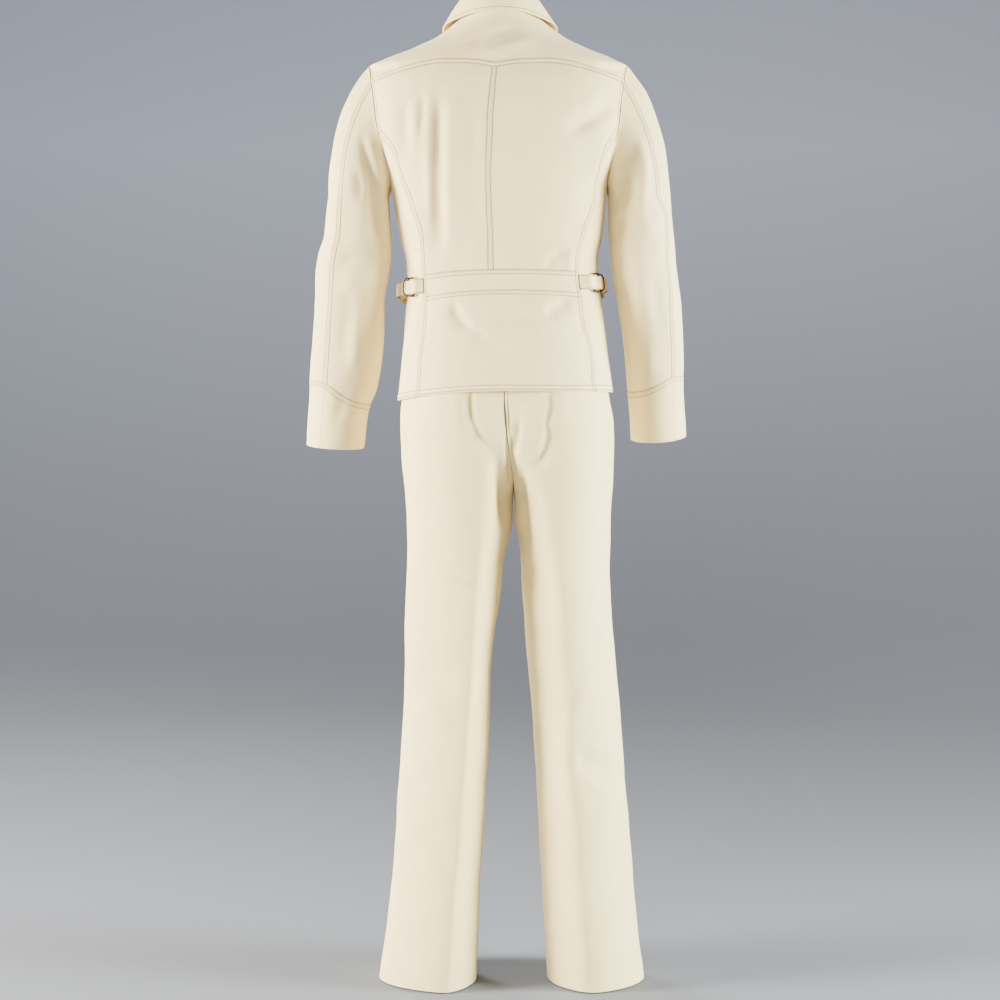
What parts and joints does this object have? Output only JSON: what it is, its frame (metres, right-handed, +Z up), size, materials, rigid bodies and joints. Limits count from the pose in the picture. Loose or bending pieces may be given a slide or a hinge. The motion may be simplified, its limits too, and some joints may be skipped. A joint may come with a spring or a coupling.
{
  "type": "western suit",
  "caption": "Cream western suit: jacket with scalloped back yoke, belted back, ring side tabs, pointed cuffs and long collar, over flared creased trousers.",
  "frame": {"origin": "middle of the neck, level with the inner ends of the shoulder seams, where the wearer's neck and shoulders carry the suit", "axes": "+Z up along the body, -Y towards the front of the suit, +X towards the wearer's left"},
  "size_m": [0.6421, 0.2432, 1.6725],
  "materials": {
    "jacket_cloth": "cream twill with a soft sheen, brown heavy topstitching",
    "trouser_cloth": "cream twill with pressed creases",
    "rings": "dark antique brass",
    "buttons": "pale horn"
  },
  "bodies": {
    "root": {"jacket_back_belt": "jacket_cloth", "jacket_back_left": "jacket_cloth", "jacket_back_right": "jacket_cloth", "jacket_back_skirt": "jacket_cloth", "jacket_back_yoke": "jacket_cloth", "jacket_button_1": "buttons", "jacket_button_2": "buttons", "jacket_button_3": "buttons", "jacket_button_4": "buttons", "jacket_button_5": "buttons", "jacket_collar_leaf": "jacket_cloth", "jacket_collar_stand": "jacket_cloth", "jacket_front_left": "jacket_cloth", "jacket_front_right": "jacket_cloth", "jacket_ring_lower_left": "rings", "jacket_ring_lower_right": "rings", "jacket_ring_upper_left": "rings", "jacket_ring_upper_right": "rings", "jacket_side_left": "jacket_cloth", "jacket_side_right": "jacket_cloth", "jacket_strap_left": "jacket_cloth", "jacket_strap_right": "jacket_cloth", "jacket_tab_left": "jacket_cloth", "jacket_tab_right": "jacket_cloth", "jacket_top_cuff_left": "jacket_cloth", "jacket_top_cuff_right": "jacket_cloth", "jacket_top_sleeve_left": "jacket_cloth", "jacket_top_sleeve_right": "jacket_cloth", "jacket_under_cuff_left": "jacket_cloth", "jacket_under_cuff_right": "jacket_cloth", "jacket_under_sleeve_left": "jacket_cloth", "jacket_under_sleeve_right": "jacket_cloth", "trouser_back_left": "trouser_cloth", "trouser_back_right": "trouser_cloth", "trouser_front_left": "trouser_cloth", "trouser_front_right": "trouser_cloth", "trouser_waist_button": "buttons", "trouser_waistband": "trouser_cloth"}
  },
  "joints": []
}
